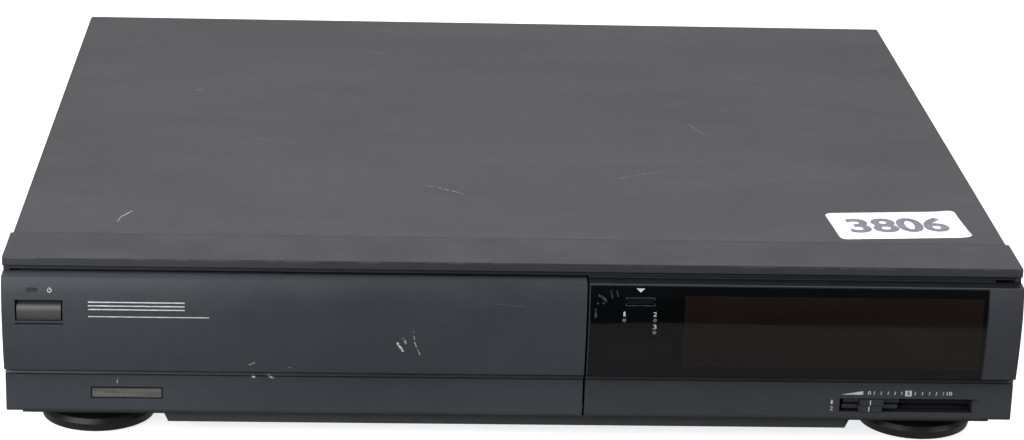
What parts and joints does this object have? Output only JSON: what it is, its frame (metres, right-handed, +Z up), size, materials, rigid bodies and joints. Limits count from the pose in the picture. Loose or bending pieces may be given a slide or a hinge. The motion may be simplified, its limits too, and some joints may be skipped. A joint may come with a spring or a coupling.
{
  "type": "video cassette recorder",
  "caption": "Low front-loading cassette recorder with a drop-down door over the slot and keys, a smoked display window, level slides and round feet.",
  "frame": {"origin": "centre of the footprint, on the surface the feet stand on", "axes": "+X to the right seen from the front, +Y towards the back, +Z up; the door faces -Y"},
  "size_m": [0.43, 0.391, 0.083],
  "materials": {
    "cover_paint": "satin baked enamel, very fine texture",
    "front_plastic": "satin moulded plastic",
    "door_plastic": "satin moulded plastic with a bluish sheen",
    "window_smoke": "polished smoked acrylic",
    "filter_brown": "dark brown filter film",
    "light_pipe": "clear tinted",
    "power_lens": "dark unlit lens",
    "tube_glass": "vacuum display glass",
    "button_plastic": "satin",
    "key_grey": "satin",
    "knob_black": "satin",
    "name_silver": "satin anodised",
    "pan_zinc": "galvanised",
    "foot_plastic": "fine grain",
    "pad_rubber": "matt",
    "screw_steel": "black zinc",
    "bright_pin": "ground",
    "fascia_plastic": "fine grain",
    "flap_plastic": "satin",
    "gear_white": "natural acetal",
    "gear_black": "acetal",
    "board_green": "resist over laminate",
    "deck_steel": "pressed sheet",
    "carriage_steel": "pressed sheet",
    "drum_aluminium": "turned and polished",
    "roller_rubber": "ground",
    "head_metal": "lapped",
    "motor_steel": "plated can",
    "core_lacquer": "lacquered laminations",
    "sink_aluminium": "extruded",
    "can_tin": "tin plate",
    "jack_chrome": "plated",
    "inlet_plastic": "satin",
    "ribbon_grey": "flexible"
  },
  "bodies": {
    "case": {"bottom_chassis": "pan_zinc", "bottom_cover": "pan_zinc", "carriage_rails": "carriage_steel", "case_screws": "screw_steel", "deck_chassis": "deck_steel", "display_filter": "filter_brown", "display_tube": "tube_glass", "display_window": "window_smoke", "door_hinge_pins": "bright_pin", "feet": "foot_plastic", "foot_pads": "pad_rubber", "front_bezel": "front_plastic", "front_circuit_board": "board_green", "heat_sink": "sink_aluminium", "indicator_lights": "light_pipe", "infrared_receiver": "power_lens", "inner_fascia": "fascia_plastic", "level_slide_unit": "fascia_plastic", "loading_motor": "motor_steel", "lower_drum": "drum_aluminium", "main_board": "board_green", "mains_inlet": "inlet_plastic", "power_board": "board_green", "rear_jacks": "jack_chrome", "rear_panel": "cover_paint", "ribbon_cable": "ribbon_grey", "tape_heads": "head_metal", "top_cover": "cover_paint", "transformer": "core_lacquer", "tuner_module": "can_tin"},
    "door": {"door_panel": "door_plastic", "door_liner": "fascia_plastic", "power_light": "power_lens", "nameplate": "name_silver"},
    "power_button": {"power_button": "button_plastic"},
    "damper": {"door_damper_gear": "gear_white"},
    "open_button": {"open_button": "knob_black"},
    "door_latch": {"door_latch": "gear_black"},
    "flap": {"cassette_flap": "flap_plastic"},
    "tracking_knob": {"tracking_knob": "key_grey"},
    "level_left": {"level_knob_left": "knob_black"},
    "level_right": {"level_knob_right": "knob_black"},
    "carriage_slider": {"carriage_slider": "gear_black"},
    "carriage": {"cassette_carriage": "carriage_steel"},
    "drum": {"upper_drum": "drum_aluminium"},
    "capstan": {"capstan": "motor_steel"},
    "pinch_arm": {"pinch_arm": "deck_steel"},
    "pinch_roller": {"pinch_roller": "roller_rubber"},
    "supply_reel": {"supply_reel_table": "gear_white"},
    "takeup_reel": {"takeup_reel_table": "gear_white"},
    "supply_guide": {"supply_guide": "bright_pin"},
    "takeup_guide": {"takeup_guide": "bright_pin"},
    "cam_gear": {"cam_gear": "gear_white"},
    "rewind_button": {"rewind_button": "key_grey"},
    "play_button": {"play_button": "key_grey"},
    "fast_forward_button": {"fast_forward_button": "key_grey"},
    "stop_button": {"stop_button": "key_grey"},
    "pause_button": {"pause_button": "key_grey"},
    "record_button": {"record_button": "key_grey"},
    "eject_button": {"eject_button": "key_grey"}
  },
  "joints": [
    {"name": "door_hinge", "type": "hinge", "parent": "case", "child": "door", "pos_m": [0, -0.1849, 0.0176], "axis": [1, 0, 0], "range_deg": [0, 90]},
    {"name": "damper_turn", "type": "hinge", "parent": "case", "child": "damper", "pos_m": [-0.2078, -0.17977, 0.02581], "axis": [1, 0, 0], "range_deg": [-127, 1]},
    {"name": "power_press", "type": "slide", "parent": "door", "child": "power_button", "axis": [0, 1, 0], "range_m": [0, 0.0014], "stiffness_N_per_m": 400, "springref_m": -0.0015},
    {"name": "open_press", "type": "slide", "parent": "case", "child": "open_button", "axis": [0, 1, 0], "range_m": [0, 0.002], "stiffness_N_per_m": 400, "springref_m": -0.0015},
    {"name": "latch_turn", "type": "hinge", "parent": "case", "child": "door_latch", "pos_m": [0.04, -0.172, 0.068], "axis": [0, 0, 1], "range_deg": [0, 9.7]},
    {"name": "flap_swing", "type": "hinge", "parent": "case", "child": "flap", "pos_m": [-0.079, -0.1767, 0.0736], "axis": [1, 0, 0], "range_deg": [0, 84], "stiffness_Nm_per_rad": 0.004, "springref_deg": -34.38},
    {"name": "rewind_press", "type": "slide", "parent": "case", "child": "rewind_button", "axis": [0, 1, 0], "range_m": [0, 0.001], "stiffness_N_per_m": 400, "springref_m": -0.0015},
    {"name": "play_press", "type": "slide", "parent": "case", "child": "play_button", "axis": [0, 1, 0], "range_m": [0, 0.001], "stiffness_N_per_m": 400, "springref_m": -0.0015},
    {"name": "fast_forward_press", "type": "slide", "parent": "case", "child": "fast_forward_button", "axis": [0, 1, 0], "range_m": [0, 0.001], "stiffness_N_per_m": 400, "springref_m": -0.0015},
    {"name": "stop_press", "type": "slide", "parent": "case", "child": "stop_button", "axis": [0, 1, 0], "range_m": [0, 0.001], "stiffness_N_per_m": 400, "springref_m": -0.0015},
    {"name": "pause_press", "type": "slide", "parent": "case", "child": "pause_button", "axis": [0, 1, 0], "range_m": [0, 0.001], "stiffness_N_per_m": 400, "springref_m": -0.0015},
    {"name": "record_press", "type": "slide", "parent": "case", "child": "record_button", "axis": [0, 1, 0], "range_m": [0, 0.001], "stiffness_N_per_m": 400, "springref_m": -0.0015},
    {"name": "eject_press", "type": "slide", "parent": "case", "child": "eject_button", "axis": [0, 1, 0], "range_m": [0, 0.001], "stiffness_N_per_m": 400, "springref_m": -0.0015},
    {"name": "tracking_turn", "type": "hinge", "parent": "case", "child": "tracking_knob", "pos_m": [-0.186, -0.181, 0.031], "axis": [0, -1, 0], "range_deg": [-140, 140]},
    {"name": "level_left_slide", "type": "slide", "parent": "case", "child": "level_left", "axis": [1, 0, 0], "range_m": [-0.001, 0.0313]},
    {"name": "level_right_slide", "type": "slide", "parent": "case", "child": "level_right", "axis": [1, 0, 0], "range_m": [-0.0005, 0.0318]},
    {"name": "carriage_in", "type": "slide", "parent": "case", "child": "carriage_slider", "axis": [0, 1, 0], "range_m": [0, 0.04]},
    {"name": "carriage_down", "type": "slide", "parent": "carriage_slider", "child": "carriage", "axis": [0, 0, 1], "range_m": [-0.02, 0]},
    {"name": "drum_spin", "type": "hinge", "parent": "case", "child": "drum", "pos_m": [-0.079, 0.022, 0], "axis": [0, 0.104, 0.9946], "continuous": true},
    {"name": "capstan_spin", "type": "hinge", "parent": "case", "child": "capstan", "pos_m": [-0.027, -0.006, 0.04], "axis": [0, 0, 1], "continuous": true},
    {"name": "cam_turn", "type": "hinge", "parent": "case", "child": "cam_gear", "pos_m": [0.009, 0.052, 0.029], "axis": [0, 0, 1], "range_deg": [0, 300]},
    {"name": "pinch_arm_turn", "type": "hinge", "parent": "case", "child": "pinch_arm", "pos_m": [-0.005, 0.014, 0.03], "axis": [0, 0, 1], "range_deg": [-24, 0.1]},
    {"name": "pinch_roller_spin", "type": "hinge", "parent": "pinch_arm", "child": "pinch_roller", "pos_m": [-0.01346, -0.02109, 0.038], "axis": [0, 0, 1], "continuous": true},
    {"name": "supply_reel_spin", "type": "hinge", "parent": "case", "child": "supply_reel", "pos_m": [-0.125, -0.08, 0.03], "axis": [0, 0, 1], "continuous": true},
    {"name": "takeup_reel_spin", "type": "hinge", "parent": "case", "child": "takeup_reel", "pos_m": [-0.033, -0.08, 0.03], "axis": [0, 0, 1], "continuous": true},
    {"name": "supply_guide_slide", "type": "slide", "parent": "case", "child": "supply_guide", "axis": [-0.1927, 0.9812, 0], "range_m": [-0.0001, 0.0553]},
    {"name": "takeup_guide_slide", "type": "slide", "parent": "case", "child": "takeup_guide", "axis": [0.1927, 0.9812, 0], "range_m": [-0.0001, 0.0553]}
  ],
  "couplings": [
    {"joint": "damper_turn", "follows": "door_hinge", "ratio": -1.4},
    {"joint": "latch_turn", "follows": "open_press", "rad_per_m": 83.333},
    {"joint": "supply_guide_slide", "follows": "cam_turn", "m_per_rad": 0.010504},
    {"joint": "takeup_guide_slide", "follows": "cam_turn", "m_per_rad": 0.010504},
    {"joint": "pinch_arm_turn", "follows": "cam_turn", "ratio": -0.07992}
  ]
}
